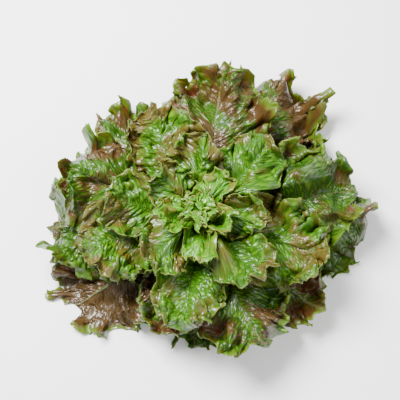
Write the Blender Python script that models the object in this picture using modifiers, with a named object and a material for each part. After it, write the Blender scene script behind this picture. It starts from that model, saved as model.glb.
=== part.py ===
"""Red batavia lettuce: a turned stem, twenty-eight separate leaves and a fused heart.

Metres, +Z up, the cut face of the stem on z = 0 round the origin. Leaves follow the
golden angle up the stem, the oldest lowest. Each blade is a grid in margin coordinates
(turn q round the edge from base to tip to base, run rho from the midrib to the edge),
bent along a meridian, waved, and laid on the leaves below it.
"""
import math

import bpy
import numpy as np

MM = 0.001

# The whole head.
LEAVES = 28
HEART_LEAVES = 4
MIDDLE_FROM, HEART_FROM = 12, 24
GOLDEN_ANGLE = 137.5
FIRST_AZIMUTH = 215.0
HEART_TOP = 104.0 * MM

# How far each of the lower leaves reaches from the axis, oldest first, in millimetres.
REACH = (146, 161, 147, 109, 176, 149, 133, 155, 108, 153, 144, 132, 88, 112, 119, 112)
# The same for four of the upper leaves; those between are in proportion.
INNER_LEAF, INNER_REACH = (16, 20, 24, 27), (104, 76, 48, 33)
# How far a leaf stands off the golden angle, in degrees, for the leaves that do.
OFF_ANGLE = {0: -4, 1: 8, 2: 3, 4: 16, 5: -4, 6: 5, 7: -16, 8: 15, 9: 1, 10: 8, 11: 8, 12: -12,
             13: -9, 14: 3, 15: -2, 16: 7, 17: 12, 19: 4, 20: 8}

# Slope of a leaf at its base and at its tip, in degrees: of the oldest leaf, and how much
# steeper the youngest stands.
BASE_SLOPE, BASE_RISE = 16, 68
TIP_SLOPE, TIP_RISE = -30, 116
# Width over length of some leaves, those between in proportion, and the oldest leaf's surplus.
BROAD_LEAF, BROAD_SHARE = (11, 12, 18, 27), (0.74, 0.70, 0.64, 0.50)
OLDEST_WIDER = 1.14

# Stem.
STEM_HEIGHT = 54.0 * MM
STEM_FOOT_RADIUS = 17.0 * MM
STEM_CUT_RADIUS = 15.5 * MM
STEM_TAPER = 11.5 * MM
STEM_SIDES = 24
STEM_RINGS = 8

# Blades.
BLADE = 1.2 * MM
RIB = 2.4 * MM
GAP = 0.4 * MM
BASE_SHARE = 0.72
TOOTH = 1.5 * MM
TOOTH_SHARE = 0.034
WAVE_SHARE = 0.075
FOLD_SHARE = 0.055
FOLD_LENGTH = 62.0
RUFFLE_LENGTH = 36.0

# Core of the heart, an egg just above the stem.
CORE_RADII = np.array([9.0, 9.0, 13.0]) * MM
CORE_HEIGHT = 69.5 * MM

# Columns and rows of a blade: outer, middle and heart leaves.
OUTER_GRID = (34, 4)
MIDDLE_GRID = (26, 4)
HEART_GRID = (14, 3)
OUTER_LEAVES = 16

# Laying one leaf on those below, in polar cells about the hub.
HUB = np.array([0.0, 0.0, 25.0 * MM])
CELL_TURN = math.radians(1.0)
CELL_RUN = 1.0 * MM
CELLS_TURN = 360
CELLS_RUN = 220
CLEARANCE = 1.8 * MM
SETTLE_ROUNDS = 24
SETTLE_FROM = 5.0 * MM
SETTLE_MOST = math.radians(30)
SETTLE_HEART = math.radians(20)
FLOOR_LIFT = 1.2 * MM
FLOOR_SOFT = 2.5 * MM

COLOURS = {
    "stem": (0.62, 0.66, 0.42),
    "leaf_outer": (0.20, 0.12, 0.04),
    "leaf_middle": (0.19, 0.22, 0.05),
    "leaf_heart": (0.20, 0.42, 0.05),
}


def clear_scene():
    """Remove every object, mesh and material."""
    for item in list(bpy.data.objects):
        bpy.data.objects.remove(item, do_unlink=True)
    for block in (bpy.data.meshes, bpy.data.materials):
        for item in list(block):
            block.remove(item)


def make_material(name):
    """Give a matt Principled material in the colour of its slot."""
    material = bpy.data.materials.new(name)
    material.use_nodes = True
    shader = material.node_tree.nodes["Principled BSDF"]
    shader.inputs["Base Color"].default_value = (*COLOURS[name], 1.0)
    shader.inputs["Roughness"].default_value = 0.45
    return material


def stem_radius(z):
    """Radius of the stem at a height."""
    return STEM_FOOT_RADIUS - STEM_TAPER * (z / STEM_HEIGHT) ** 1.6


def slopes(start, end):
    """Slopes in radians along a midrib, from those of its base and tip in degrees."""
    return np.radians(start + (end - start) * np.linspace(0, 1, 60) ** 1.3)


def leaf_rule(k):
    """Size, place and bend of leaf k, counted from the oldest."""
    count = LEAVES + HEART_LEAVES
    t = k / (count - 1)
    chance = np.random.default_rng(k).uniform(-1, 1, 6)
    rule = {
        "k": k,
        "t": t,
        "azimuth": math.radians(FIRST_AZIMUTH + GOLDEN_ANGLE * k + OFF_ANGLE.get(k, 0)),
        "roll": math.radians(20 - 18 * t) * chance[3],
        "wrap": 0.86 + 0.12 * (1 - t) * chance[4],
    }
    if k < LEAVES:
        reach = REACH[k] if k < len(REACH) else np.interp(k, INNER_LEAF, INNER_REACH)
        start = BASE_SLOPE + BASE_RISE * t ** 1.6 + 1.5 * chance[0]
        end = TIP_SLOPE + TIP_RISE * t ** 1.5 + 14 * (1 - 0.8 * t) * chance[1]
        z = (6 + 46 * t) * MM
        r = stem_radius(z) + GAP + RIB / 2 * math.sin(math.radians(start))
        length = (reach * MM - r) / np.cos(slopes(start, end)).mean()
        width = length * np.interp(k, BROAD_LEAF, BROAD_SHARE) * (1 + 0.1 * chance[2])
        width *= OLDEST_WIDER if k == 0 else 1.0
    else:
        h = (k - LEAVES) / (HEART_LEAVES - 1)
        start, end = 62 + 14 * h, 84 + 24 * h
        z, r = (60 + 3 * h) * MM, (4.5 - 2 * h) * MM
        length = (HEART_TOP - z) / np.sin(slopes(start, end)).mean()
        width = length * 0.85
    rule.update(start=math.radians(start), end=math.radians(end), z=z, r=r, length=length,
                width=width)
    return rule


def swell(x, y, wave, seed, parts=9):
    """Smooth seeded swell between -1 and 1 over a plane, wave in the units of x and y."""
    draw = np.random.default_rng(seed)
    angle = draw.uniform(0, 2 * math.pi, parts)
    number = 2 * math.pi / wave * draw.uniform(0.7, 1.3, parts)
    phase = draw.uniform(0, 2 * math.pi, parts)
    total = sum(np.sin(number[i] * (x * math.cos(angle[i]) + y * math.sin(angle[i])) + phase[i])
                for i in range(parts))
    return np.tanh(0.9 * total / math.sqrt(parts / 2))


def blade_plan(q, rho, rule):
    """Flat place (along the midrib, across it) of the grid points, teeth included."""
    u = np.abs(q)
    length, k = rule["length"], rule["k"]
    fade = np.clip((1 - u) / 0.3, 0, 1)
    edge_along = length * (0.5 + 0.5 * np.cos(math.pi * u ** 1.12))
    power = np.where(u < 0.47, 0.72, 0.72 + 4.5 * (u - 0.47))
    base = BASE_SHARE * rule["r"] / 2 * u ** 3
    edge_across = np.sign(q) * (rule["width"] / 2 * np.sin(math.pi * np.minimum(u, 1)) ** power + base)
    vein_root = 0.86 * length * (1 - u) ** 1.7
    teeth = 17 if k < OUTER_LEAVES else (13 if k < LEAVES else 7)
    notch = 1 - np.abs(np.sin(math.pi * ((q * teeth + 1) / 2 + 0.5 + 0.12 * np.sin(5 * q + k)))) ** 0.65
    out = np.hypot(edge_along - vein_root, edge_across)
    grow = ((TOOTH_SHARE * length + TOOTH) * notch * fade - 0.4 * TOOTH_SHARE * length) / out
    edge_along = edge_along + (edge_along - vein_root) * grow
    edge_across = edge_across * (1 + grow)
    return vein_root + (edge_along - vein_root) * rho, edge_across * rho


def blade_wave(q, rho, along, across, rule):
    """Lift off the flat blade and slip along it, from margin waves and broad folds."""
    k, length = rule["k"], rule["length"]
    draw = np.random.default_rng(100 + k)
    phase = draw.uniform(0, 2 * math.pi, 8)
    number = (4.0 if k < OUTER_LEAVES else 3.2) * (1 + 0.1 * draw.uniform(-1, 1))
    scale = min(max(length / (130 * MM), 0.5), 1.1)
    x, y = along / MM + 1000, across / MM
    fold = swell(x, y, FOLD_LENGTH * scale, k * 7 + 1)
    ruffle = swell(x, y, RUFFLE_LENGTH * scale, k * 7 + 2)
    fade = np.clip((1 - np.abs(q)) / 0.3, 0, 1)
    turn = q + 0.09 * np.sin(3.1 * q + phase[3]) + 0.05 * np.sin(7.3 * q + phase[4]) + 0.03 * ruffle * rho
    wave = WAVE_SHARE * np.sin(2 * math.pi * number * turn + phase[0]) * rho ** 2
    calm = np.interp(k, (16, 22), (1.0, 0.5))
    lift = calm * length * (wave + FOLD_SHARE * fold * rho + FOLD_SHARE * ruffle * rho ** 1.5) * fade ** 1.5
    slip = 0.38 * WAVE_SHARE * length * np.sin(4 * math.pi * number * turn + 2 * phase[0])
    return lift, slip * rho ** 2.5 * fade


def bend_blade(along, across, lift, slip, rule):
    """Bend the flat blade up its meridian and round the stem; the leaf grows along +X."""
    length = rule["length"]
    run = np.linspace(0, 1.25, 126)
    angle = rule["start"] + (rule["end"] - rule["start"]) * np.minimum(run, 1.0) ** 1.3
    middle = (angle[1:] + angle[:-1]) / 2
    step = run[1] * length
    radii = rule["r"] + np.concatenate([[0], np.cumsum(np.cos(middle) * step)])
    heights = rule["z"] + np.concatenate([[0], np.cumsum(np.sin(middle) * step)])
    x = np.clip(along / length, 0, 1.25)
    radius, height, slope = (np.interp(x, run, row) for row in (radii, heights, angle))
    across = across + slip
    roll = rule["roll"] * x ** 2
    lift = lift * np.cos(roll) + across * np.sin(roll)
    round_ = np.maximum(radius / rule["wrap"], rule["r"] + 12 * MM * (rule["k"] >= LEAVES))
    turn = across / round_
    out = radius - round_ * (1 - np.cos(turn)) - lift * np.sin(slope)
    return np.stack([out, round_ * np.sin(turn), height + lift * np.cos(slope)], -1)


def to_polar(points):
    """Azimuth, distance and elevation of points about the hub."""
    v = points - HUB
    flat = np.hypot(v[:, 0], v[:, 1])
    return np.arctan2(v[:, 1], v[:, 0]), np.linalg.norm(v, axis=1), np.arctan2(v[:, 2], flat)


def from_polar(azimuth, distance, elevation):
    """Points from azimuth, distance and elevation about the hub."""
    flat = distance * np.cos(elevation)
    return HUB + np.stack([flat * np.cos(azimuth), flat * np.sin(azimuth), distance * np.sin(elevation)], -1)


def heave(azimuth, distance, elevation):
    """Swells that the whole head shares, so that leaves rise and fall together."""
    far = np.clip(distance / (150 * MM), 0, 1.2)
    rise = (3.4 * np.sin(5 * azimuth + 1.0) * far ** 1.5
            + 3.2 * np.sin(11 * azimuth + 2.5 + 6 * far) * far ** 2
            + 1.6 * np.sin(19 * azimuth + 0.7) * far ** 2.5)
    return elevation + np.radians(rise) * np.cos(elevation)


def lattice(parts):
    """Barycentric weights of an even lattice over a triangle."""
    return np.array([(i, j, parts - i - j) for i in range(parts + 1) for j in range(parts + 1 - i)]) / parts


def cells(azimuth, distance):
    """Cell numbers for azimuths and distances."""
    turn = np.floor(azimuth / CELL_TURN).astype(int) % CELLS_TURN
    return turn, np.clip((distance / CELL_RUN).astype(int), 0, CELLS_RUN - 1)


def settle(points, faces, ceiling, root, most):
    """Raise the points until every face clears the leaves below; the root stays put."""
    weights = lattice(6)
    shares = weights / (weights ** 2).sum(axis=1, keepdims=True)
    highest = to_polar(points)[2] + most
    for _ in range(SETTLE_ROUNDS):
        azimuth, distance, elevation = to_polar(points)
        spots = np.einsum("wc,fcd->fwd", weights, points[faces])
        turn, run, tilt = to_polar(spots.reshape(-1, 3))
        need = ceiling[cells(turn, run)] + CLEARANCE / run - tilt
        free = np.hypot(spots[..., 0], spots[..., 1]) > root + SETTLE_FROM
        need = np.where(free, np.maximum(need.reshape(free.shape), 0), 0)
        raise_ = np.zeros(len(points))
        for corner in range(3):
            np.maximum.at(raise_, faces[:, corner], (need * shares[:, corner]).max(axis=1))
        raise_ *= np.clip((np.hypot(points[:, 0], points[:, 1]) - root) / SETTLE_FROM - 0.6, 0, 1)
        points = from_polar(azimuth, distance, np.minimum(elevation + raise_, highest))
    return points


def cover(points, faces, ceiling):
    """Raise the ceiling to the top of this leaf."""
    spots = np.einsum("wc,fcd->fwd", lattice(14), points[faces]).reshape(-1, 3)
    azimuth, distance, elevation = to_polar(spots)
    layer = np.full_like(ceiling, -math.pi)
    np.maximum.at(layer, cells(azimuth, distance), elevation)
    for axis in (0, 1):
        layer = np.maximum(layer, np.maximum(np.roll(layer, 1, axis), np.roll(layer, -1, axis)))
    np.maximum(ceiling, layer, out=ceiling)


def spin(points, angle):
    """Turn points about the stem's axis."""
    c, s = math.cos(angle), math.sin(angle)
    return points @ np.array([[c, s, 0], [-s, c, 0], [0, 0, 1]])


def read_points(mesh):
    """Vertex places of a mesh as an array."""
    flat = np.empty(len(mesh.vertices) * 3)
    mesh.vertices.foreach_get("co", flat)
    return flat.reshape(-1, 3)


def edit(item, *steps):
    """Run mesh operators on all of an object in edit mode."""
    bpy.ops.object.select_all(action="DESELECT")
    item.select_set(True)
    bpy.context.view_layer.objects.active = item
    bpy.ops.object.mode_set(mode="EDIT")
    bpy.ops.mesh.select_all(action="SELECT")
    for step in steps:
        step()
    bpy.ops.object.mode_set(mode="OBJECT")


def make_leaf(k, name, ceiling, collection):
    """One blade, laid on the ceiling of the leaves below and given its thickness."""
    rule = leaf_rule(k)
    columns, rows = OUTER_GRID if k < OUTER_LEAVES else (MIDDLE_GRID if k < LEAVES else HEART_GRID)
    bpy.ops.mesh.primitive_grid_add(x_subdivisions=columns, y_subdivisions=rows, size=2)
    leaf = bpy.context.object
    leaf.name = leaf.data.name = name
    grid = read_points(leaf.data)
    q, rho = grid[:, 0], 1 - ((1 - grid[:, 1]) / 2) ** 1.25
    along, across = blade_plan(q, rho, rule)
    lift, slip = blade_wave(q, rho, along, across, rule)
    points = spin(bend_blade(along, across, lift, slip, rule), rule["azimuth"])
    azimuth, distance, elevation = to_polar(points)
    points = from_polar(azimuth, distance, heave(azimuth, distance, elevation))
    leaf.data.vertices.foreach_set("co", points.ravel())
    rib = leaf.vertex_groups.new(name="rib")
    strength = np.clip(1 - along / (0.75 * rule["length"]), 0, 1) * np.clip(1 - 3 * rho, 0, 1)
    for i, value in enumerate(strength):
        rib.add([i], float(value), "REPLACE")
    edit(leaf, lambda: bpy.ops.mesh.remove_doubles(threshold=0.02 * MM),
         lambda: bpy.ops.mesh.quads_convert_to_tris(quad_method="FIXED", ngon_method="BEAUTY"),
         lambda: bpy.ops.mesh.normals_make_consistent(inside=False))
    mesh = leaf.data
    faces = np.array([list(face.vertices) for face in mesh.polygons])
    most = SETTLE_MOST if k < LEAVES else SETTLE_HEART
    points = settle(read_points(mesh), faces, ceiling, rule["r"], most)
    if k < LEAVES:
        cover(points, faces, ceiling)
    points[:, 2] = FLOOR_LIFT + FLOOR_SOFT * np.logaddexp(0, (points[:, 2] - FLOOR_LIFT) / FLOOR_SOFT)
    mesh.vertices.foreach_set("co", spin(points, -rule["azimuth"]).ravel())
    mesh.update()
    leaf.rotation_euler.z = rule["azimuth"]
    wall = leaf.modifiers.new("wall", "SOLIDIFY")
    wall.thickness = RIB
    wall.offset = 0
    wall.vertex_group = "rib"
    wall.thickness_vertex_group = BLADE / RIB
    for owner in list(leaf.users_collection):
        owner.objects.unlink(leaf)
    collection.objects.link(leaf)
    return leaf


def make_stem(collection):
    """Turned stump with a flat cut face, its profile run from top to bottom."""
    heights = np.linspace(STEM_HEIGHT, 2.5 * MM, STEM_RINGS)
    profile = [(0.0, 0.0, STEM_HEIGHT + 1.5 * MM)]
    profile += [(stem_radius(z), 0.0, z) for z in heights]
    profile += [(STEM_CUT_RADIUS, 0.0, 0.0), (0.0, 0.0, 0.0)]
    mesh = bpy.data.meshes.new("stem")
    mesh.from_pydata(profile, [(i, i + 1) for i in range(len(profile) - 1)], [])
    stem = bpy.data.objects.new("stem", mesh)
    collection.objects.link(stem)
    turn = stem.modifiers.new("turn", "SCREW")
    turn.axis = "Z"
    turn.steps = turn.render_steps = STEM_SIDES
    turn.use_merge_vertices = True
    turn.merge_threshold = 0.01 * MM
    return stem


def make_heart(ceiling, collection, cutters):
    """Small core with the innermost leaves fused on to it."""
    bpy.ops.mesh.primitive_uv_sphere_add(segments=12, ring_count=8, radius=1.0)
    heart = bpy.context.object
    heart.name = heart.data.name = "heart"
    points = read_points(heart.data) * CORE_RADII + np.array([0.0, 0.0, CORE_HEIGHT])
    heart.data.vertices.foreach_set("co", points.ravel())
    for owner in list(heart.users_collection):
        owner.objects.unlink(heart)
    collection.objects.link(heart)
    for k in range(LEAVES, LEAVES + HEART_LEAVES):
        make_leaf(k, f"heart_leaf_{k - LEAVES + 1}", ceiling, cutters)
    fuse = heart.modifiers.new("fuse", "BOOLEAN")
    fuse.operation = "UNION"
    fuse.operand_type = "COLLECTION"
    fuse.collection = cutters
    fuse.solver = "MANIFOLD"
    bpy.context.view_layer.update()
    bpy.ops.object.select_all(action="DESELECT")
    bpy.context.view_layer.objects.active = heart
    heart.select_set(True)
    bpy.ops.object.modifier_apply(modifier="fuse")
    for item in list(cutters.objects):
        bpy.data.objects.remove(item, do_unlink=True)
    edit(heart, lambda: bpy.ops.mesh.normals_make_consistent(inside=False))
    return heart


def main():
    """Build the stem, the leaves from the oldest in, and the heart."""
    clear_scene()
    head = bpy.data.collections.new("red_batavia_lettuce")
    cutters = bpy.data.collections.new("heart_leaves")
    for group in (head, cutters):
        bpy.context.scene.collection.children.link(group)
    materials = {slot: make_material(slot) for slot in COLOURS}
    stem = make_stem(head)
    stem.data.materials.append(materials["stem"])
    ceiling = np.full((CELLS_TURN, CELLS_RUN), -math.pi)
    for k in range(LEAVES):
        leaf = make_leaf(k, f"leaf_{k + 1:02d}", ceiling, head)
        slot = "leaf_outer" if k < MIDDLE_FROM else "leaf_middle" if k < HEART_FROM else "leaf_heart"
        leaf.data.materials.append(materials[slot])
    heart = make_heart(ceiling, head, cutters)
    heart.data.materials.clear()
    heart.data.materials.append(materials["leaf_heart"])
    bpy.data.collections.remove(cutters)


main()
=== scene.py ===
"""Looks of a red batavia lettuce head over its solids.

Every leaf is a fine grid: a turn q round the edge, from base to tip to base, and a run rho
from the midrib to the edge. It is crumpled, bent and laid on the leaves below, then
thickened. Its colour comes from three painted shares: veins, nearness to the edge, bronze.
"""

import logging
import math
from dataclasses import dataclass, field, replace
from enum import Enum
from typing import Callable, Union

import bpy
import numpy as np
from mathutils import Matrix, Vector


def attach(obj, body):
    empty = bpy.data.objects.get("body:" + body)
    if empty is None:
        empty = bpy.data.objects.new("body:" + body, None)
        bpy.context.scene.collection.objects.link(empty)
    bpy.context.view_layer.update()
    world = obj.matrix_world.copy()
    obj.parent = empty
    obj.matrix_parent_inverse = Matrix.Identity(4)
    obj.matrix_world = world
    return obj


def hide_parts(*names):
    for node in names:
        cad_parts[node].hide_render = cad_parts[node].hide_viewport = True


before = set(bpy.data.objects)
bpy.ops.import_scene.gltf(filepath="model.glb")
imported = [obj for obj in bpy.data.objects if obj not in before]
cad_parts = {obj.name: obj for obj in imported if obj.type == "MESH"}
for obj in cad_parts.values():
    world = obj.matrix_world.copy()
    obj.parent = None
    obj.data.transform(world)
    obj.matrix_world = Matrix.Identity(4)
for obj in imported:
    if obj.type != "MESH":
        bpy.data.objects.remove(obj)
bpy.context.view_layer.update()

MM = 0.001
LOG = logging.getLogger("lettuce")

Array = np.ndarray
Arrays = tuple[Array, Array, Array]
Pair = tuple[float, float]
Point = tuple[float, float, float]
Colour = tuple[float, float, float]
Material = bpy.types.Material
Piece = bpy.types.Object
Socket = bpy.types.NodeSocket
Tint = Union[Socket, Colour]

# Centre of the swells that the whole head shares, and of the cells that leaves lie on.
HUB = np.array([0.0, 0.0, 25.0 * MM])
# The swells: height in degrees, number round the head, phase, twist and growth outwards.
SWELLS = ((3.4, 5, 1.0, 0, 1.5), (3.2, 11, 2.5, 6, 2), (1.6, 19, 0.7, 0, 2.5))
# Where they are at full height, and how far past it they grow.
SWELLS_FULL, SWELLS_PAST = 150.0 * MM, 1.2
# How many degrees some leaves stand off the golden angle.
OFF_ANGLE = {0: -4, 1: 8, 2: 3, 4: 16, 5: -4, 6: 5, 7: -16, 8: 15, 9: 1, 10: 8, 11: 8, 12: -12,
             13: -9, 14: 3, 15: -2, 16: 7, 17: 12, 19: 4, 20: 8}
# Power by which a leaf's slope changes along its midrib.
BEND_POWER = 1.3
# First seed of the leaves' phases, and the seeds that each leaf's swells take up.
WAVE_SEED, SEEDS_A_LEAF = 100, 7
# How far blades are kept off the swells' common origin, in millimetres.
FAR_OFF = 1000
# How far patterns run back along a blade as its side veins do, and are drawn out across it.
SLANT, SQUEEZE = 0.8, 0.5
# Points nearer than this are one.
MERGE = 0.01 * MM


class Slot(Enum):
    """Material slots of the record."""

    STEM = "stem"
    OUTER = "leaf_outer"
    MIDDLE = "leaf_middle"
    HEART = "leaf_heart"


class Draw(Enum):
    """Seeded swells of a leaf, by what they shape or paint."""

    FOLD = 1
    RUFFLE = 2
    PLEAT = 3
    RIDGE = 4
    PUCKER = 5
    PUSH = 6
    SLIP = 7
    PATCH = 8
    RUMPLE = 10


@dataclass(frozen=True)
class Trend:
    """A value that changes evenly from a start by a rise."""

    start: float
    rise: float

    def at(self, share: float) -> float:
        """Value at a share of the way."""
        return self.start + self.rise * share


@dataclass(frozen=True)
class ByLeaf:
    """A value given for some leaves, those between in proportion."""

    leaves: tuple[int, ...]
    values: tuple[float, ...]

    def at(self, k: int) -> float:
        """Value for leaf k."""
        return float(np.interp(k, self.leaves, self.values))


@dataclass(frozen=True)
class Ripple:
    """How high a pattern stands on a blade, and how it grows towards the edge."""

    share: float
    power: float

    def on(self, pattern: Array, rho: Array) -> Array:
        """Heights of the pattern, as shares of the blade's length."""
        return self.share * pattern * rho ** self.power


@dataclass(frozen=True)
class LeafFinish:
    """Colours and gloss of one class of leaf."""

    green: Colour
    # painted shade: the darker green laid in the creases of the vein net
    crease_shade: Colour
    bronze: Colour
    vein: Colour
    edge: Colour
    bronze_share: float
    edge_from: float = 0.94
    edge_cover: float = 0.8
    vein_range: Pair = (0.25, 0.9)
    vein_cover: float = 0.85
    # range of the vein net that turns from painted crease shade to plain green
    crease_shade_range: Pair = (0.1, 0.9)
    mottle_share: float = 0.7
    bronze_middle: float = 1.32
    bronze_half_width: float = 0.13
    roughness: float = 0.27
    bump: float = 0.70
    specular: float = 0.38
    translucence: float = 0.12
    translucent_depth: float = 0.004

    def underside(self) -> "LeafFinish":
        """The same leaf from below: paler, duller and less bronze.

        Returns:
            The finish of the under face.
        """
        pale = tuple((1 - UNDER_PALER) * a + UNDER_PALER * b
                     for a, b in zip(self.green, PALE_GREEN))
        # the painted crease shade of the underside is its pale green, darkened
        return replace(self, green=pale, crease_shade=tuple(UNDER_CREASE_SHADE * a for a in pale),
                       bronze_share=self.bronze_share - UNDER_LESS_BRONZE,
                       roughness=UNDER_ROUGHNESS, bump=UNDER_BUMP)


@dataclass(frozen=True)
class SurfaceFinish:
    """Mottling and crinkles that all leaves share; scales are patterns a metre."""

    mottle_scale: float = 150
    mottle_detail: float = 4
    mottle_roughness: float = 0.6
    net_scale: float = 300
    net_flat_from: float = 0.35
    crinkle_scale: float = 420
    crinkle_detail: float = 3
    crinkle_share: float = 0.5
    height: float = 0.9 * MM


@dataclass(frozen=True)
class StemFinish:
    """Colours of the cut stem."""

    flesh: Colour = (0.55, 0.60, 0.33)
    core: Colour = (0.40, 0.30, 0.16)
    roughness: float = 0.5
    grain: float = 160
    core_to: float = 0.35
    flesh_from: float = 0.62


# Undersides: how far they turn to pale green, how dark their painted crease shade is against
# that green, how much less bronze they are, and how rough.
PALE_GREEN: Colour = (0.11, 0.16, 0.05)
UNDER_PALER, UNDER_CREASE_SHADE, UNDER_LESS_BRONZE = 0.4, 0.8, 0.12
UNDER_ROUGHNESS, UNDER_BUMP = 0.45, 0.6
# Each class's second green is painted shade, laid in the creases of the vein net.
FINISHES = {
    Slot.OUTER: LeafFinish(
        green=(0.058, 0.140, 0.006), crease_shade=(0.016, 0.052, 0.003), bronze=(0.056, 0.031, 0.008),
        vein=(0.11, 0.12, 0.04), edge=(0.085, 0.180, 0.010), bronze_share=0.42, edge_from=0.88),
    Slot.MIDDLE: LeafFinish(
        green=(0.072, 0.190, 0.005), crease_shade=(0.022, 0.080, 0.003), bronze=(0.072, 0.060, 0.009),
        vein=(0.12, 0.20, 0.05), edge=(0.095, 0.130, 0.018), bronze_share=0.38),
    Slot.HEART: LeafFinish(
        green=(0.110, 0.300, 0.007), crease_shade=(0.040, 0.150, 0.004), bronze=(0.120, 0.120, 0.016),
        vein=(0.13, 0.28, 0.04), edge=(0.130, 0.170, 0.022), bronze_share=0.28),
}
# How much more bronze some leaves are than others of their class.
BRONZED = {0: 0.46, 1: -0.08, 3: -0.18, 4: 0.26, 5: -0.08, 6: 0.14, 7: 0.12, 8: 0.18, 9: -0.12,
           10: 0.04, 12: 0.04, 13: 0.05, 14: 0.08, 15: 0.10, 16: -0.08, 17: -0.10, 20: 0.08}


def shown(name: str, data: bpy.types.ID) -> Piece:
    """New object for some data, linked into the scene."""
    thing = bpy.data.objects.new(name, data)
    bpy.context.scene.collection.objects.link(thing)
    return thing


@dataclass(frozen=True)
class Stem:
    """The turned stump that every leaf grows from."""

    height: float = 54.0 * MM
    crown: float = 1.5 * MM
    foot: float = 17.0 * MM
    taper: float = 11.5 * MM
    taper_power: float = 1.6
    cut: float = 15.5 * MM
    cut_rise: float = 2.5 * MM
    rings: int = 24
    sides: int = 64

    def radius(self, z: float) -> float:
        """Radius at a height."""
        return self.foot - self.taper * (max(z, 0.0) / self.height) ** self.taper_power

    def build(self, material: Material) -> Piece:
        """Turn the stump about the vertical.

        Args:
            material: its one material.

        Returns:
            The stump.
        """
        profile = [(0.0, 0.0, self.height + self.crown)]
        profile += [(self.radius(z), 0.0, z)
                    for z in np.linspace(self.height, self.cut_rise, self.rings)]
        profile += [(self.cut, 0.0, 0.0), (0.0, 0.0, 0.0)]
        mesh = bpy.data.meshes.new("stem_skin")
        mesh.from_pydata(profile, [(i, i + 1) for i in range(len(profile) - 1)], [])
        stump = shown("stem_skin", mesh)
        bpy.ops.object.select_all(action="DESELECT")
        stump.select_set(True)
        bpy.context.view_layer.objects.active = stump
        turn = stump.modifiers.new("turn", "SCREW")
        turn.axis, turn.steps, turn.render_steps = "Z", self.sides, self.sides
        turn.use_merge_vertices, turn.merge_threshold = True, MERGE
        bpy.ops.object.modifier_apply(modifier="turn")
        bpy.ops.object.shade_smooth()
        mesh.materials.append(material)
        return stump


@dataclass(frozen=True)
class HeartPlan:
    """Leaves and core of the heart.

    Trends run from its first leaf to its last, in degrees and in millimetres.
    """

    leaves: int = 4
    curls: int = 5
    curls_at: float = 1.2
    top: float = 104.0 * MM
    base_slope: Trend = Trend(62, 14)
    tip_slope: Trend = Trend(96, 44)
    root_height: Trend = Trend(60, 3)
    root_radius: Trend = Trend(4.5, -2)
    broad: float = 0.85
    least_wrap: float = 12.0 * MM
    core_radii: Point = (9.0 * MM, 9.0 * MM, 13.0 * MM)
    core_height: float = 69.5 * MM
    core_sides: int = 32
    core_rings: int = 20


@dataclass(frozen=True)
class HeadPlan:
    """How the head is put together; leaves count from 0, the oldest.

    Reaches, clearances and the lengths in trends are in millimetres, angles in degrees.
    Trends run from the oldest leaf to the youngest.
    """

    stem: Stem = Stem()
    heart: HeartPlan = HeartPlan()
    leaves: int = 28
    large_leaves: int = 16
    middle_from: int = 12
    heart_from: int = 24
    golden_angle: float = 137.5
    first_azimuth: float = 215.0
    reach: tuple[int, ...] = (146, 161, 147, 109, 176, 149, 133, 155, 108, 153, 144, 132, 88,
                              112, 119, 112)
    inner_reach: ByLeaf = ByLeaf((16, 20, 24, 27), (104, 76, 48, 33))
    root_height: Trend = Trend(6, 46)
    root_depth: float = 0.5 * MM
    base_slope: Trend = Trend(16, 68)
    base_power: float = 1.6
    base_varies: float = 1.5
    tip_slope: Trend = Trend(-30, 116)
    tip_power: float = 1.5
    tip_varies: float = 14
    tip_steadier: float = 0.8
    broad: ByLeaf = ByLeaf((11, 12, 18, 27), (0.75, 0.74, 0.72, 0.70))
    broad_varies: float = 0.1
    oldest_wider: float = 1.14
    roll: Trend = Trend(20, -18)
    wrap: float = 0.86
    wrap_varies: float = 0.12
    clearance: ByLeaf = ByLeaf((12, 18), (1.8, 1.0))
    over_ground: float = 1.2 * MM
    over_top: float = 2.0 * MM
    soft: float = 2.5 * MM

    @property
    def count(self) -> int:
        """All leaves, those of the heart included."""
        return self.leaves + self.heart.leaves

    def slot(self, k: int) -> Slot:
        """Slot of leaf k."""
        later = Slot.MIDDLE if k < self.heart_from else Slot.HEART
        return Slot.OUTER if k < self.middle_from else later


@dataclass
class LeafRule:
    """Size, place and bend of leaf k of a head."""

    plan: HeadPlan
    k: int

    def __post_init__(self) -> None:
        """Work out the leaf's sizes from its place in the spiral."""
        plan, k = self.plan, self.k
        t = k / (plan.count - 1)
        chance = np.random.default_rng(k).uniform(-1, 1, 6)
        self.azimuth = math.radians(plan.first_azimuth + plan.golden_angle * k
                                    + OFF_ANGLE.get(k, 0))
        self.roll = math.radians(plan.roll.at(t)) * chance[3]
        self.wrap = plan.wrap + plan.wrap_varies * (1 - t) * chance[4]
        self.inner = k >= plan.leaves
        if self.inner:
            heart = plan.heart
            h = min((k - plan.leaves) / (heart.leaves - 1), heart.curls_at)
            start, end = heart.base_slope.at(h), heart.tip_slope.at(h)
            self.z, self.r = heart.root_height.at(h) * MM, heart.root_radius.at(h) * MM
            self.length = (heart.top - self.z) / np.sin(self.slopes(start, end)).mean()
            self.width = self.length * heart.broad
        else:
            reach = plan.reach[k] if k < len(plan.reach) else plan.inner_reach.at(k)
            start = plan.base_slope.at(t ** plan.base_power) + plan.base_varies * chance[0]
            end = (plan.tip_slope.at(t ** plan.tip_power)
                   + plan.tip_varies * (1 - plan.tip_steadier * t) * chance[1])
            self.z = plan.root_height.at(t) * MM
            self.r = plan.stem.radius(self.z) - plan.root_depth
            self.length = (reach * MM - self.r) / np.cos(self.slopes(start, end)).mean()
            self.width = self.length * plan.broad.at(k) * (1 + plan.broad_varies * chance[2])
            self.width *= plan.oldest_wider if k == 0 else 1.0
        self.start, self.end = math.radians(start), math.radians(end)

    @staticmethod
    def slopes(start: float, end: float) -> Array:
        """Slopes in radians along the midrib, for a start and an end in degrees."""
        return np.radians(start + (end - start) * np.linspace(0, 1, 60) ** BEND_POWER)


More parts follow.
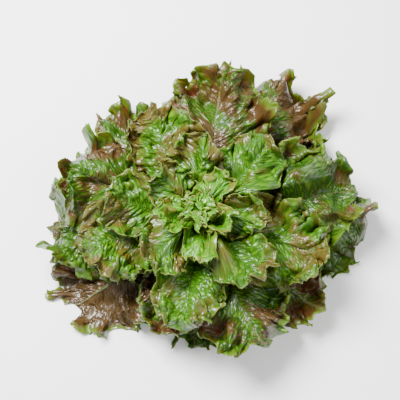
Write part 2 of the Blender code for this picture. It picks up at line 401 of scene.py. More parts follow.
def to_polar(points: Array) -> Arrays:
    """Azimuth, distance and elevation of points about the hub."""
    v = points - HUB
    return (np.arctan2(v[..., 1], v[..., 0]), np.linalg.norm(v, axis=-1),
            np.arctan2(v[..., 2], np.hypot(v[..., 0], v[..., 1])))


def from_polar(azimuth: Array, distance: Array, elevation: Array) -> Array:
    """Points from azimuth, distance and elevation about the hub."""
    flat = distance * np.cos(elevation)
    return HUB + np.stack([flat * np.cos(azimuth), flat * np.sin(azimuth),
                           distance * np.sin(elevation)], -1)


def heave(points: Array) -> Array:
    """Swells that the whole head shares, so that leaves rise and fall together.

    Args:
        points: grid of points.

    Returns:
        The grid, raised and lowered about the hub.
    """
    azimuth, distance, elevation = to_polar(points)
    far = np.clip(distance / SWELLS_FULL, 0, SWELLS_PAST)
    rise = sum(height * np.sin(number * azimuth + phase + twist * far) * far ** growth
               for height, number, phase, twist, growth in SWELLS)
    return from_polar(azimuth, distance, elevation + np.radians(rise) * np.cos(elevation))


def window(cells: Array, steps: int, over: Callable[..., Array]) -> Array:
    """Take the highest or the mean of each cell and its neighbours, edges repeated.

    Args:
        cells: grid of values.
        steps: how many neighbours on each side count.
        over: what is taken of them.

    Returns:
        Grid of the values taken.
    """
    for axis in (0, 1):
        size = cells.shape[axis]
        near = [np.take(cells, range(i, i + size), axis, mode="clip")
                for i in range(-steps, steps + 1)]
        cells = over(near, axis=0)
    return cells


@dataclass
class Ceiling:
    """Height of the leaves laid so far, in polar cells about the hub.

    A leaf comes free to rise over root_run, by most_lift degrees at most.
    """

    turns: int = 360
    runs: int = 150
    run_cell: float = 1.5 * MM
    root_run: float = 8.0 * MM
    most_lift: float = 30.0
    soft_steps: int = 3

    def __post_init__(self) -> None:
        """Start with an empty ceiling."""
        self.top = np.full((self.turns, self.runs), -math.pi)

    def cells(self, azimuth: Array, distance: Array) -> tuple[Array, Array]:
        """Cell numbers of azimuths and distances."""
        turn = np.floor(azimuth / (2 * math.pi) * self.turns).astype(int) % self.turns
        return turn, np.clip((distance / self.run_cell).astype(int), 0, self.runs - 1)

    def settle(self, points: Array, clearance: float, root: float) -> Array:
        """Raise a grid of points over the ceiling, with a smooth lift.

        Args:
            points: grid of points.
            clearance: distance to keep.
            root: radius of the leaf's base, which stays put.

        Returns:
            The raised grid.
        """
        azimuth, distance, elevation = to_polar(points)
        need = self.top[self.cells(azimuth, distance)] + clearance / distance - elevation
        free = np.clip((np.hypot(points[..., 0], points[..., 1]) - root) / self.root_run, 0, 1)
        need = np.clip(need, 0, math.radians(self.most_lift)) * free
        lift = window(window(need, self.soft_steps, np.max), self.soft_steps, np.mean)
        # both halves of the blade share a midrib, so they rise alike along it
        lift = (lift + lift[::-1]) / 2 * (1 - free) + lift * free
        lift[:, 0] = (lift[:, 0] + lift[::-1, 0]) / 2
        return from_polar(azimuth, distance, elevation + lift)

    def cover(self, points: Array) -> None:
        """Raise the ceiling to the top of a leaf.

        Args:
            points: grid of the leaf's points.
        """
        azimuth, distance, elevation = to_polar(points)
        layer = np.full_like(self.top, -math.pi)
        np.maximum.at(layer, self.cells(azimuth, distance), elevation)
        for axis in (0, 1):
            beside = np.maximum(np.roll(layer, 1, axis), np.roll(layer, -1, axis))
            layer = np.maximum(layer, beside)
        np.maximum(self.top, layer, out=self.top)


@dataclass(frozen=True)
class Outline:
    """Flat outline of a blade: shares of its length and width."""

    tip_power: float = 1.12
    shoulder: float = 0.47
    blunt: float = 0.72
    narrowing: float = 4.5
    root_share: float = 0.36
    veins_from: float = 0.86
    vein_power: float = 1.7
    base_share: float = 0.3


@dataclass(frozen=True)
class Teeth:
    """Teeth along the edge: large ones, with small ones on them."""

    large_leaf: int = 17
    small_leaf: int = 13
    heart_leaf: int = 7
    size: float = 1.5 * MM
    share: float = 0.034
    point: float = 0.65
    sway: Pair = (0.12, 5)
    small_share: float = 0.012
    small_number: float = 1.37
    small_point: float = 0.8
    small_sway: Pair = (0.4, 9)
    drawn_in: float = 0.4
    dwindle: ByLeaf = ByLeaf((5, 12, 20), (1.0, 0.8, 0.6))

    def number(self, rule: LeafRule) -> int:
        """Large teeth along the whole edge of a leaf."""
        later = self.heart_leaf if rule.inner else self.small_leaf
        return self.large_leaf if rule.k < rule.plan.large_leaves else later


@dataclass(frozen=True)
class Waves:
    """Waves, folds and frills of a blade; wavelengths in millimetres on a full-size leaf."""

    large_leaf: float = 4.0
    small_leaf: float = 3.2
    number_varies: float = 0.1
    full_length: float = 130.0 * MM
    least_scale: float = 0.5
    most_scale: float = 1.1
    wave: Ripple = Ripple(0.075, 2)
    fold_share: float = 0.055
    fold_length: float = 62
    fold_deeper: float = 0.15
    ruffle_length: float = 36
    ruffle_deeper: float = 0.5
    ruffle_power: float = 1.5
    curl: Ripple = Ripple(0.052, 3)
    pleat: Ripple = Ripple(0.030, 1.3)
    pleat_length: float = 18
    rumple: Ripple = Ripple(0.050, 0.8)
    rumple_length: float = 27
    fine: Ripple = Ripple(0.008, 6)
    slow_sway: Pair = (0.09, 3.1)
    quick_sway: Pair = (0.05, 7.3)
    ruffle_sway: float = 0.03
    curls_a_wave: float = 2.7
    curl_pleat_sway: float = 1.2
    curl_rumple_sway: float = 1.5
    fine_a_wave: float = 6.1
    fine_sway: float = 1.2
    base_power: float = 1.5
    calm: ByLeaf = ByLeaf((16, 22), (1.0, 0.5))
    gentle: ByLeaf = ByLeaf((14, 24), (1.0, 0.50))
    deeper: ByLeaf = ByLeaf((12, 18), (1.0, 0.0))
    slide: float = 0.38
    slide_power: float = 2.5
    lean: float = 0.4
    wander: float = 1.2 * MM
    wander_length: float = 16


@dataclass(frozen=True)
class Blisters:
    """Side veins in furrows, and the puckered blade between them."""

    height: float = 2.0 * MM
    veins: int = 8
    vein_power: float = 0.9
    vein_sway: float = 0.04
    furrow_width: float = 0.16
    furrow_depth: float = 0.8
    furrow_end: float = 1.25
    fan: float = 1.15
    fan_sway: float = 1.5
    fan_offset: float = 500
    ridge_length: float = 6.5
    ridge_stretch: float = 0.4
    pucker_length: float = 8.5
    parts: int = 12
    spread: float = 2.4
    least_spread: float = 0.1
    total: float = 1.15
    ribbed: ByLeaf = ByLeaf((12, 20), (0.55, 0.15))


@dataclass(frozen=True)
class Tones:
    """How the painted shares run over a blade."""

    rib_width: float = 0.6 * MM
    rib_flare: float = 2.4 * MM
    rib_end: float = 0.9
    shown: ByLeaf = ByLeaf((0, 8, 14, 20), (1.0, 0.8, 0.45, 0.2))
    side_vein: float = 0.6
    side_vein_fade: float = 0.6
    patch_length: float = 34
    patch_share: float = 0.42
    crest_share: float = 0.38
    rim_share: float = 0.20
    crest: float = 0.45
    ribbed: ByLeaf = ByLeaf((12, 20), (0.3, 0.05))
    leaf_step: float = 0.37


@dataclass
class Spots:
    """Grid points of a flat blade: turn, run, and places along and across it."""

    q: Array
    rho: Array
    along: Array
    across: Array

    @property
    def x(self) -> Array:
        """Places along in millimetres, away from the swells' common origin."""
        return self.along / MM + FAR_OFF

    @property
    def y(self) -> Array:
        """Places across in millimetres."""
        return self.across / MM


@dataclass
class Form:
    """What crumpling does to a flat blade, as grids.

    Its lift off the blade, its slip across and push along it, how near a point is to a side
    vein, and the ridges and puckers between veins, from -1 to 1.
    """

    lift: Array
    slip: Array
    push: Array
    groove: Array
    ridge: Array
    pucker: Array


@dataclass
class Leaf:
    """One leaf: its flat plan, its waves, its bend, and what is painted on it.

    Its columns run round the edge, and its rows from the midrib to the edge.
    """

    rule: LeafRule
    columns: int
    rows: int
    outline: Outline = Outline()
    teeth: Teeth = Teeth()
    waves: Waves = Waves()
    blisters: Blisters = Blisters()
    tones: Tones = Tones()
    blade: float = 0.6 * MM
    rib: float = 3.0 * MM
    rib_steps: int = 10
    row_power: float = 1.25
    overshoot: float = 1.25
    bend_steps: int = 125
    roll_power: float = 2

    def swell(self, kind: Draw, x: Array, y: Array, wave: float, parts: int = 9) -> Array:
        """The leaf's own smooth swell of a kind.

        Args:
            kind: what it shapes or paints.
            x: places along one axis, in millimetres.
            y: places along the other.
            wave: wavelength.
            parts: number of plane waves that are added.

        Returns:
            Heights between -1 and 1.
        """
        draw = np.random.default_rng(self.rule.k * SEEDS_A_LEAF + kind.value)
        angle = draw.uniform(0, 2 * math.pi, parts)
        number = 2 * math.pi / wave * draw.uniform(0.7, 1.3, parts)
        phase = draw.uniform(0, 2 * math.pi, parts)
        total = sum(np.sin(n * (x * math.cos(a) + y * math.sin(a)) + p)
                    for n, a, p in zip(number, angle, phase))
        return np.tanh(0.9 * total / math.sqrt(parts / 2))

    def fade(self, q: Array) -> Array:
        """Share that falls to nothing at the base of the blade."""
        return np.clip((1 - np.abs(q)) / self.outline.base_share, 0, 1)

    def tooth_sizes(self, q: Array) -> Array:
        """How far the teeth stand out.

        Args:
            q: turns round the edge.

        Returns:
            Lengths at those turns.
        """
        teeth, k, length = self.teeth, self.rule.k, self.rule.length
        number = teeth.number(self.rule)
        size, waves = teeth.sway
        phase = (q * number + 1) / 2 + 0.5 + size * np.sin(waves * q + k)
        notch = 1 - np.abs(np.sin(math.pi * phase)) ** teeth.point
        size, waves = teeth.small_sway
        phase = q * number * teeth.small_number + k + size * np.sin(waves * q)
        small = 1 - np.abs(np.sin(math.pi * phase)) ** teeth.small_point
        total = (teeth.share * length + teeth.size) * notch + teeth.small_share * length * small
        return total * teeth.dwindle.at(k)

    def edge(self, q: Array) -> Arrays:
        """Toothed edge of the flat blade.

        Args:
            q: turns round the edge.

        Returns:
            Places along and across the blade, and where each point's vein leaves the midrib.
        """
        rule, outline = self.rule, self.outline
        u = np.abs(q)
        along = rule.length * (0.5 + 0.5 * np.cos(math.pi * u ** outline.tip_power))
        power = np.where(u < outline.shoulder, outline.blunt,
                         outline.blunt + outline.narrowing * (u - outline.shoulder))
        across = np.sign(q) * (rule.width / 2 * np.sin(math.pi * u) ** power
                               + outline.root_share * rule.r * u ** 3)
        root = outline.veins_from * rule.length * (1 - u) ** outline.vein_power
        sizes = self.tooth_sizes(q) * self.fade(q)
        drawn_in = self.teeth.drawn_in * self.teeth.share * rule.length
        grow = (sizes - drawn_in) / np.hypot(along - root, across)
        return along + (along - root) * grow, across * (1 + grow), root

    def furrow(self, at: Spots, ruffle: Array) -> Arrays:
        """Side veins in furrows, with the blade pleated up between them.

        Args:
            at: the flat blade.
            ruffle: the ruffle that the veins sway with.

        Returns:
            Grooves, ridges and puckers.
        """
        rule, plan, q, rho = self.rule, self.blisters, at.q, at.rho
        count = plan.veins * (np.abs(q) ** plan.vein_power + plan.vein_sway * ruffle * rho)
        side = np.abs(np.sin(math.pi * (count + 0.5 * (q > 0))))
        groove = np.exp(-(side / plan.furrow_width) ** 2) * np.clip(plan.furrow_end - rho, 0, 1)
        fan = plan.fan * q * rule.length / MM + plan.fan_sway * ruffle + plan.fan_offset
        run = plan.ridge_stretch * (rho * rule.width / 2 / MM)
        ridge = self.swell(Draw.RIDGE, fan, run, plan.ridge_length, plan.parts)
        pucker = self.swell(Draw.PUCKER, at.x - SLANT * np.abs(at.y), SQUEEZE * at.y,
                            plan.pucker_length, plan.parts)
        return groove, 2 * np.abs(ridge) - 1, 2 * np.abs(pucker) - 1

    def crumple(self, at: Spots, edge: tuple[Array, Array]) -> Form:
        """Waves, folds, frills and blisters of the flat blade.

        Args:
            at: the flat blade.
            edge: places of the edge along and across it.

        Returns:
            What they do to the blade.
        """
        rule, k, waves, blisters = self.rule, self.rule.k, self.waves, self.blisters
        q, rho, x, y, length = at.q, at.rho, at.x, at.y, rule.length
        draw = np.random.default_rng(WAVE_SEED + k)
        phase = draw.uniform(0, 2 * math.pi, 8)
        number = waves.large_leaf if k < rule.plan.large_leaves else waves.small_leaf
        number = number * (1 + waves.number_varies * draw.uniform(-1, 1))
        scale = min(max(length / waves.full_length, waves.least_scale), waves.most_scale)
        gentle, deeper = waves.gentle.at(k), waves.deeper.at(k)
        fold = self.swell(Draw.FOLD, x, y, waves.fold_length * scale)
        ruffle = self.swell(Draw.RUFFLE, x, y, waves.ruffle_length * scale)
        pleat = self.swell(Draw.PLEAT, x, y, waves.pleat_length * scale)
        rumple = self.swell(Draw.RUMPLE, x, y, waves.rumple_length * scale)
        fade = self.fade(q)

        (slow, slow_waves), (quick, quick_waves) = waves.slow_sway, waves.quick_sway
        turn = (q + slow * np.sin(slow_waves * q + phase[3])
                + quick * np.sin(quick_waves * q + phase[4]) + waves.ruffle_sway * ruffle * rho)
        big = 2 * math.pi * number * turn
        frill = (waves.curls_a_wave * big + phase[2] + waves.curl_pleat_sway * pleat
                 + waves.curl_rumple_sway * rumple)
        curl = np.sin(frill)
        fine = np.sin(waves.fine_a_wave * big + phase[1] + waves.fine_sway * curl)
        folds = ((1 + waves.fold_deeper * deeper) * fold * rho
                 + (1 + waves.ruffle_deeper * deeper) * ruffle * rho ** waves.ruffle_power)
        lift = waves.wave.on(np.sin(big + phase[0]), rho) + waves.fold_share * folds
        lift = waves.calm.at(k) * length * lift * fade ** waves.base_power
        lift = lift + gentle * length * fade * (waves.curl.on(curl, rho)
                                                + waves.pleat.on(pleat, rho)
                                                + waves.rumple.on(rumple, rho)
                                                + waves.fine.on(fine, rho))

        groove, ridge, pucker = self.furrow(at, ruffle)
        spread = np.clip(blisters.spread * rho, blisters.least_spread, 1)
        ribbed = blisters.ribbed.at(k)
        lift = lift + blisters.height * spread * (
            ribbed * ridge + (blisters.total - ribbed) * pucker - blisters.furrow_depth * groove)

        slip = (waves.slide * waves.wave.share * length * np.sin(2 * big + 2 * phase[0])
                * rho ** waves.slide_power * fade)
        # the frill leans along the edge, which rounds its crests
        lean = -waves.lean * waves.curl.share * gentle * length * fade * np.sin(2 * frill)
        lean = lean * rho ** waves.curl.power
        run_along, run_across = (np.gradient(row[:, 0])[:, None] for row in edge)
        run = np.hypot(run_along, run_across) + 1e-9
        wander = waves.wander_length
        slip = slip + lean * run_across / run + (
            waves.wander * self.swell(Draw.SLIP, x, y, wander) * rho)
        push = lean * run_along / run + waves.wander * self.swell(Draw.PUSH, x, y, wander) * rho
        return Form(lift, slip, push, groove, ridge, pucker)

    def bend(self, along: Array, across: Array, lift: Array) -> Array:
        """Bend the blade up its meridian and round the stem; the leaf grows along +X.

        Args:
            along: places along the flat blade.
            across: places across it.
            lift: heights off it.

        Returns:
            Grid of points.
        """
        rule = self.rule
        run = np.linspace(0, self.overshoot, self.bend_steps + 1)
        angle = rule.start + (rule.end - rule.start) * np.minimum(run, 1.0) ** BEND_POWER
        middle = (angle[1:] + angle[:-1]) / 2
        step = run[1] * rule.length
        radii = rule.r + np.concatenate([[0], np.cumsum(np.cos(middle) * step)])
        heights = rule.z + np.concatenate([[0], np.cumsum(np.sin(middle) * step)])
        x = np.clip(along / rule.length, 0, self.overshoot)
        radius, height, slope = (np.interp(x, run, row) for row in (radii, heights, angle))
        roll = rule.roll * x ** self.roll_power
        lift = lift * np.cos(roll) + across * np.sin(roll)
        least = rule.r + (rule.plan.heart.least_wrap if rule.inner else 0)
        wrap = np.maximum(radius / rule.wrap, least)
        turn = across / wrap
        out = radius - wrap * (1 - np.cos(turn)) - lift * np.sin(slope)
        return np.stack([out, wrap * np.sin(turn), height + lift * np.cos(slope)], -1)

    def lay(self, points: Array, ceiling: Ceiling) -> Array:
        """Turn the bent blade to its azimuth and lay it on the leaves below.

        Args:
            points: grid of the bent blade.
            ceiling: the leaves below, to which this one is added.

        Returns:
            Grid in the head's frame, off the ground and under the top.
        """
        rule, plan = self.rule, self.rule.plan
        c, s = math.cos(rule.azimuth), math.sin(rule.azimuth)
        points = heave(points @ np.array([[c, s, 0], [-s, c, 0], [0, 0, 1]]))
        points = ceiling.settle(points, plan.clearance.at(rule.k) * MM, rule.r)
        if not rule.inner:
            ceiling.cover(points)
        low, high, soft = plan.over_ground, plan.heart.top + plan.over_top, plan.soft
        z = low + soft * np.logaddexp(0, (points[..., 2] - low) / soft)
        points[..., 2] = high - soft * np.logaddexp(0, (high - z) / soft)
        return points

    def shares(self, at: Spots, form: Form) -> Array:
        """What is painted on the blade.

        Args:
            at: the flat blade.
            form: what crumpling does to it.

        Returns:
            Shares of vein, nearness to the edge and bronze, stacked last.
        """
        k, tones, rho = self.rule.k, self.tones, at.rho
        narrow = np.clip(1 - at.along / (tones.rib_end * self.rule.length), 0, 1)
        rib = np.exp(-(at.across / (tones.rib_width + tones.rib_flare * narrow)) ** 2)
        shown = tones.shown.at(k)
        side = tones.side_vein * shown * form.groove * (1 - rho * tones.side_vein_fade)
        vein = np.clip(shown * rib + side, 0, 1)
        patch = 0.5 + 0.5 * self.swell(Draw.PATCH, at.x, at.y, tones.patch_length)
        ribbed = tones.ribbed.at(k)
        crest = 0.5 + ribbed * form.ridge + (tones.crest - ribbed) * form.pucker
        bronze = (tones.patch_share * patch + tones.crest_share * crest
                  + tones.rim_share * rho ** 2)
        return np.stack(np.broadcast_arrays(vein, rho, np.clip(bronze, 0, 1)), -1)

    def shape(self, ceiling: Ceiling) -> Arrays:
        """Places of the grid in the head's frame, and what is painted on it.

        Args:
            ceiling: the leaves below, on which this one is laid and then counted.

        Returns:
            Points, painted shares, and places on the flat blade for the textures.
        """
        q = np.linspace(-1, 1, self.columns + 1)[:, None]
        rho = 1 - (1 - np.linspace(0, 1, self.rows + 1)[None, :]) ** self.row_power
        edge_along, edge_across, root = self.edge(q)
        along, across = root + (edge_along - root) * rho, edge_across * rho
        at = Spots(q, rho, along, across)
        form = self.crumple(at, (edge_along, edge_across))
        points = self.bend(along + form.push, across + form.slip, form.lift)
        place = np.stack([along - SLANT * np.abs(across) + self.tones.leaf_step * self.rule.k,
                          SQUEEZE * across, np.zeros_like(across)], -1)
        return self.lay(points, ceiling), self.shares(at, form), place

    def build(self, name: str, ceiling: Ceiling,
              materials: tuple[Material, ...]) -> Piece:
        """Make the leaf as a closed thin solid with its shares painted on.

        Args:
            name: name of the piece.
            ceiling: the leaves below.
            materials: one for the upper face, one for the underside.

        Returns:
            The leaf.
        """
        points, shares, place = self.shape(ceiling)
        bpy.ops.object.select_all(action="DESELECT")
        bpy.ops.mesh.primitive_grid_add(x_subdivisions=self.columns, y_subdivisions=self.rows,
                                        size=2)
        leaf = bpy.context.object
        leaf.name = leaf.data.name = name
        mesh = leaf.data
        flat = np.empty(len(mesh.vertices) * 3)
        mesh.vertices.foreach_get("co", flat)
        at = flat.reshape(-1, 3)
        i = np.rint((at[:, 0] + 1) / 2 * self.columns).astype(int)
        j = np.rint((at[:, 1] + 1) / 2 * self.rows).astype(int)
        mesh.vertices.foreach_set("co", points[i, j].ravel())
        tone = mesh.attributes.new("tone", "FLOAT_COLOR", "POINT")
        opaque = np.ones((len(i), 1))
        tone.data.foreach_set("color", np.concatenate([shares[i, j], opaque], axis=1).ravel())
        spot = mesh.attributes.new("place", "FLOAT_VECTOR", "POINT")
        spot.data.foreach_set("vector", place[i, j].ravel())
        for material in materials:
            mesh.materials.append(material)
        near_midrib = j < 2 + self.rows // 12
        self.thicken(leaf, shares[i, j, 0] * near_midrib)
        return leaf

    def thicken(self, leaf: Piece, rib: Array) -> None:
        """Join the sheet along its midrib and give it its wall.

        Args:
            leaf: the sheet, which is the active object.
            rib: nearness of each point to the midrib, 0 to 1.
        """
        mesh = leaf.data
        strength = leaf.vertex_groups.new(name="rib")
        level = np.rint(rib * self.rib_steps)
        for step in range(self.rib_steps + 1):
            chosen = np.nonzero(level == step)[0].tolist()
            if chosen:
                strength.add(chosen, step / self.rib_steps, "REPLACE")
        bpy.ops.object.mode_set(mode="EDIT")
        bpy.ops.mesh.select_all(action="SELECT")
        bpy.ops.mesh.remove_doubles(threshold=MERGE)
        bpy.ops.mesh.normals_make_consistent(inside=False)
        bpy.ops.object.mode_set(mode="OBJECT")
        if sum(face.normal.z for face in mesh.polygons) < 0:
            mesh.flip_normals()
        wall = leaf.modifiers.new("wall", "SOLIDIFY")
        wall.material_offset = 1
        wall.thickness, wall.offset = self.rib, 0
        wall.vertex_group, wall.thickness_vertex_group = "rib", self.blade / self.rib
        bpy.ops.object.modifier_apply(modifier="wall")
        bpy.ops.object.shade_smooth()


class Graph:
    """Nodes and links of a material or a node group, with short ways to add some."""

    def __init__(self, tree: bpy.types.NodeTree) -> None:
        """Keep the tree's nodes and links."""
        self.nodes, self.links = tree.nodes, tree.links

    def attribute(self, name: str, output: str) -> Socket:
        """An output of a painted attribute."""
        node = self.nodes.new("ShaderNodeAttribute")
        node.attribute_name = name
        return node.outputs[output]

    def texture(self, kind: str, place: Socket, **values: float) -> bpy.types.Node:
        """Texture node on given places.

        Args:
            kind: type of the node.
            place: where the pattern is read.
            **values: values of its inputs, by their names.

        Returns:
            The node.
        """
        node = self.nodes.new(kind)
        for name, value in values.items():
            node.inputs[name].default_value = value
        self.links.new(place, node.inputs["Vector"])
        return node

    def mix(self, share: Socket, first: Tint, second: Tint) -> Socket:
        """Colour between two others.

        Args:
            share: how much of the second is in it.
            first: a colour or a socket.
            second: a colour or a socket.

        Returns:
            The mixed colour.
        """
        node = self.nodes.new("ShaderNodeMix")
        node.data_type = "RGBA"
        self.links.new(share, node.inputs[0])
        for socket, value in ((node.inputs[6], first), (node.inputs[7], second)):
            if isinstance(value, Socket):
                self.links.new(value, socket)
            else:
                socket.default_value = (*value, 1.0)
        return node.outputs[2]

    def remap(self, value: Socket, low: float, high: float, top: float = 1.0) -> Socket:
        """Share that runs from 0 to a top.

        Args:
            value: what it depends on.
            low: the value that gives 0.
            high: the value that gives the top.
            top: the top.

        Returns:
            The share.
        """
        node = self.nodes.new("ShaderNodeMapRange")
        node.inputs["From Min"].default_value = low
        node.inputs["From Max"].default_value = high
        node.inputs["To Max"].default_value = top
        self.links.new(value, node.inputs["Value"])
        return node.outputs["Result"]

    def add(self, first: Socket, second: Socket, factor: float) -> Socket:
        """First plus second times a factor.

        Args:
            first: a value.
            second: another.
            factor: how much of the second is added.

        Returns:
            The sum.
        """
        node = self.nodes.new("ShaderNodeMath")
        node.operation = "MULTIPLY_ADD"
        self.links.new(second, node.inputs[0])
        node.inputs[1].default_value = factor
        self.links.new(first, node.inputs[2])
        return node.outputs["Value"]


def plain_material(name: str) -> tuple[Material, Graph, bpy.types.Node]:
    """New material, its graph and its shader."""
    material = bpy.data.materials.new(name)
    material.use_nodes = True
    return material, Graph(material.node_tree), material.node_tree.nodes["Principled BSDF"]


class Shading:
    """Materials of the head."""

    def __init__(self, surface: SurfaceFinish) -> None:
        """Make the node group that the leaves share."""
        self.surface = self.leaf_surface(surface)

    @staticmethod
    def leaf_surface(finish: SurfaceFinish) -> bpy.types.NodeTree:
        """Group that gives the mottling, net of veins and crinkled normal of a leaf.

        Args:
            finish: scales and height of the patterns.

        Returns:
            The group.
        """
        group = bpy.data.node_groups.new("leaf_surface", "ShaderNodeTree")
        sockets = (("Bump", "INPUT", "Float"), ("Mottle", "OUTPUT", "Float"),
                   ("Net", "OUTPUT", "Float"), ("Normal", "OUTPUT", "Vector"))
        for name, way, kind in sockets:
            group.interface.new_socket(name, in_out=way, socket_type=f"NodeSocket{kind}")
        graph = Graph(group)
        enter, leave = graph.nodes.new("NodeGroupInput"), graph.nodes.new("NodeGroupOutput")
        place = graph.attribute("place", "Vector")
        mottle = graph.texture("ShaderNodeTexNoise", place, Scale=finish.mottle_scale,
                               Detail=finish.mottle_detail, Roughness=finish.mottle_roughness)
        net = graph.texture("ShaderNodeTexVoronoi", place, Scale=finish.net_scale)
        net.feature = "DISTANCE_TO_EDGE"
        crinkle = graph.texture("ShaderNodeTexNoise", place, Scale=finish.crinkle_scale,
                                Detail=finish.crinkle_detail)
        # the net's creases sink in the bump, and the leaf material paints shade into them
        flat = graph.remap(net.outputs["Distance"], 0.0, finish.net_flat_from)
        height = graph.add(flat, crinkle.outputs["Fac"], finish.crinkle_share)
        bump = graph.nodes.new("ShaderNodeBump")
        bump.inputs["Distance"].default_value = finish.height
        graph.links.new(enter.outputs["Bump"], bump.inputs["Strength"])
        graph.links.new(height, bump.inputs["Height"])
        graph.links.new(mottle.outputs["Fac"], leave.inputs["Mottle"])
        graph.links.new(flat, leave.inputs["Net"])
        graph.links.new(bump.outputs["Normal"], leave.inputs["Normal"])
        return group

    def leaf(self, name: str, finish: LeafFinish) -> Material:
        """Leaf material: green with painted crease shade, mottled with bronze, pale veins,
        bright edge.

        Args:
            name: name of the material.
            finish: its colours and gloss.

        Returns:
            The material.
        """
        material, graph, shader = plain_material(name)
        surface = graph.nodes.new("ShaderNodeGroup")
        surface.node_tree = self.surface
        surface.inputs["Bump"].default_value = finish.bump
        tone = graph.nodes.new("ShaderNodeSeparateColor")
        graph.links.new(graph.attribute("tone", "Color"), tone.inputs["Color"])
        vein, rim, bronze = (tone.outputs[channel] for channel in ("Red", "Green", "Blue"))

        middle, half = finish.bronze_middle - finish.bronze_share, finish.bronze_half_width
        mottled = graph.add(bronze, surface.outputs["Mottle"], finish.mottle_share)
        mottled = graph.remap(mottled, middle - half, middle + half)
        # painted shade: the creases of the vein net, low in the crinkled bump, turn to the
        # darker crease green
        net = graph.remap(surface.outputs["Net"], *finish.crease_shade_range)
        rim = graph.remap(rim, finish.edge_from, 1.0, finish.edge_cover)
        vein = graph.remap(vein, *finish.vein_range, finish.vein_cover)
        colour = graph.mix(net, finish.crease_shade, finish.green)
        for share, tint in ((mottled, finish.bronze), (rim, finish.edge), (vein, finish.vein)):
            colour = graph.mix(share, colour, tint)
        graph.links.new(colour, shader.inputs["Base Color"])
        graph.links.new(surface.outputs["Normal"], shader.inputs["Normal"])
        shader.inputs["Specular IOR Level"].default_value = finish.specular
        shader.inputs["Roughness"].default_value = finish.roughness
        shader.inputs["Subsurface Weight"].default_value = finish.translucence
        shader.inputs["Subsurface Scale"].default_value = finish.translucent_depth
        return material

    @staticmethod
    def stem(finish: StemFinish) -> Material:
        """Stem material: pale flesh with browned patches.

        Args:
            finish: its colours.

        Returns:
            The material.
        """
        material, graph, shader = plain_material("stem_flesh")
        place = graph.nodes.new("ShaderNodeTexCoord").outputs["Object"]
        noise = graph.texture("ShaderNodeTexNoise", place, Scale=finish.grain)
        ramp = graph.nodes.new("ShaderNodeValToRGB")
        core, flesh = ramp.color_ramp.elements
        core.position, core.color = finish.core_to, (*finish.core, 1)
        flesh.position, flesh.color = finish.flesh_from, (*finish.flesh, 1)
        graph.links.new(noise.outputs["Fac"], ramp.inputs["Fac"])
        graph.links.new(ramp.outputs["Color"], shader.inputs["Base Color"])
        shader.inputs["Roughness"].default_value = finish.roughness
        return material


@dataclass
class Head:
    """The whole lettuce: stem, leaves and heart; grids are columns and rows."""

    plan: HeadPlan
    shading: Shading
    large_grid: tuple[int, int] = (280, 30)
    small_grid: tuple[int, int] = (200, 26)
    heart_grid: tuple[int, int] = (140, 22)
    ceiling: Ceiling = field(default_factory=Ceiling)

    def blade(self, k: int, name: str, grid: tuple[int, int]) -> Piece:
        """Build leaf k, with its own share of bronze.

        Args:
            k: its number, counted from the oldest.
            name: name of the piece.
            grid: columns and rows of its grid.

        Returns:
            The leaf.
        """
        finish = FINISHES[self.plan.slot(k)]
        finish = replace(finish, bronze_share=finish.bronze_share + BRONZED.get(k, 0.0))
        materials = (self.shading.leaf(f"leaf_{k + 1:02d}_upper", finish),
                     self.shading.leaf(f"leaf_{k + 1:02d}_under", finish.underside()))
        return Leaf(LeafRule(self.plan, k), *grid).build(name, self.ceiling, materials)

    @staticmethod
    def dress(piece: Piece, node: str, slot: Slot) -> None:
        """Give a finished piece its place in the frame.

        Args:
            piece: the piece.
            node: the solid that it takes the place of.
            slot: its material slot; not used.
        """
        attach(piece, "root")
        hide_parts(node)
        LOG.info("%s for %s: %d faces", piece.name, node, len(piece.data.polygons))

    def build_stem(self, finish: StemFinish) -> None:
        """Make the stump."""
        self.dress(self.plan.stem.build(self.shading.stem(finish)), "stem", Slot.STEM)

    def build_leaves(self) -> None:
        """Make every separate leaf, the oldest first."""
        for k in range(self.plan.leaves):
            node = f"leaf_{k + 1:02d}"
            grid = self.large_grid if k < self.plan.large_leaves else self.small_grid
            self.dress(self.blade(k, f"{node}_skin", grid), node, self.plan.slot(k))

    def build_heart(self) -> None:
        """Make the heart: its small leaves and curls joined with an egg-shaped core."""
        heart = self.plan.heart
        blades = [self.blade(k, f"heart_{k}", self.heart_grid)
                  for k in range(self.plan.leaves, self.plan.count + heart.curls)]
        bpy.ops.object.select_all(action="DESELECT")
        bpy.ops.mesh.primitive_uv_sphere_add(segments=heart.core_sides,
                                             ring_count=heart.core_rings, radius=1.0)
        core = bpy.context.object
        core.name = core.data.name = "heart_skin"
        core.data.transform(Matrix.Translation((0, 0, heart.core_height))
                            @ Matrix.Diagonal((*heart.core_radii, 1.0)))
        bpy.ops.object.shade_smooth()
        for blade in blades:
            blade.select_set(True)
        bpy.context.view_layer.objects.active = core
        bpy.ops.object.join()
        self.dress(core, "heart", Slot.HEART)


@dataclass(frozen=True)
class Lamp:
    """A soft square light."""

    name: str
    power: float
    size: float
    place: Point


@dataclass(frozen=True)
class FloorFinish:
    """The plain pale floor."""

    size: float = 6.0
    tone: float = 0.92
    roughness: float = 0.9


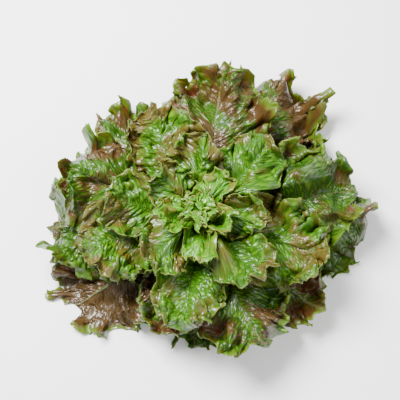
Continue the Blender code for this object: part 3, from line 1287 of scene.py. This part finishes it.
@dataclass
class Studio:
    """Floor, light and camera; the elevation is in degrees."""

    distance: float = 0.95
    elevation: float = 75.0
    target: Point = (0.0, 0.0216, 0.050)
    half_view: float = 0.190
    sensor: float = 36.0
    key: Lamp = Lamp("key", 52.0, 0.45, (-0.40, 0.35, 0.95))
    fill: Lamp = Lamp("fill", 9.0, 0.9, (0.7, -0.3, 0.9))
    sky: float = 0.60
    ground: FloorFinish = FloorFinish()

    def floor(self) -> None:
        """Wide pale floor."""
        bpy.ops.object.select_all(action="DESELECT")
        bpy.ops.mesh.primitive_plane_add(size=self.ground.size)
        floor = bpy.context.object
        floor.name = "floor"
        material, _, shader = plain_material("floor_white")
        shader.inputs["Base Color"].default_value = (*(self.ground.tone,) * 3, 1)
        shader.inputs["Roughness"].default_value = self.ground.roughness
        floor.data.materials.append(material)

    @staticmethod
    def light(lamp: Lamp) -> None:
        """Hang a lamp, aimed at the head.

        Args:
            lamp: its power, size and place.
        """
        data = bpy.data.lights.new(lamp.name, "AREA")
        data.energy, data.size = lamp.power, lamp.size
        hung = shown(lamp.name, data)
        hung.location = lamp.place
        hung.rotation_euler = (-hung.location).to_track_quat("-Z", "Y").to_euler()

    def lights(self) -> None:
        """Key from the upper left, fill from the right, and an even sky."""
        self.light(self.key)
        self.light(self.fill)
        world = bpy.data.worlds.new("sky")
        world.use_nodes = True
        background = world.node_tree.nodes["Background"]
        background.inputs["Color"].default_value = (1, 1, 1, 1)
        background.inputs["Strength"].default_value = self.sky
        bpy.context.scene.world = world

    def camera(self) -> None:
        """Camera that looks down as the photograph does."""
        data = bpy.data.cameras.new("camera")
        camera = shown("camera", data)
        target = Vector(self.target)
        tilt = math.radians(self.elevation)
        camera.location = target + self.distance * Vector((0, -math.cos(tilt), math.sin(tilt)))
        camera.rotation_euler = (target - camera.location).to_track_quat("-Z", "Y").to_euler()
        data.sensor_width = self.sensor
        data.lens = self.sensor / 2 * self.distance / self.half_view
        data.dof.use_dof = False
        bpy.context.scene.camera = camera

    def build(self) -> None:
        """Set up floor, lights and camera."""
        self.floor()
        self.lights()
        self.camera()


def main() -> None:
    """Build the head, then the studio."""
    logging.basicConfig(level=logging.INFO, format="%(message)s")
    head = Head(HeadPlan(), Shading(SurfaceFinish()))
    head.build_stem(StemFinish())
    head.build_leaves()
    head.build_heart()
    Studio().build()


if __name__ == "__main__":
    main()
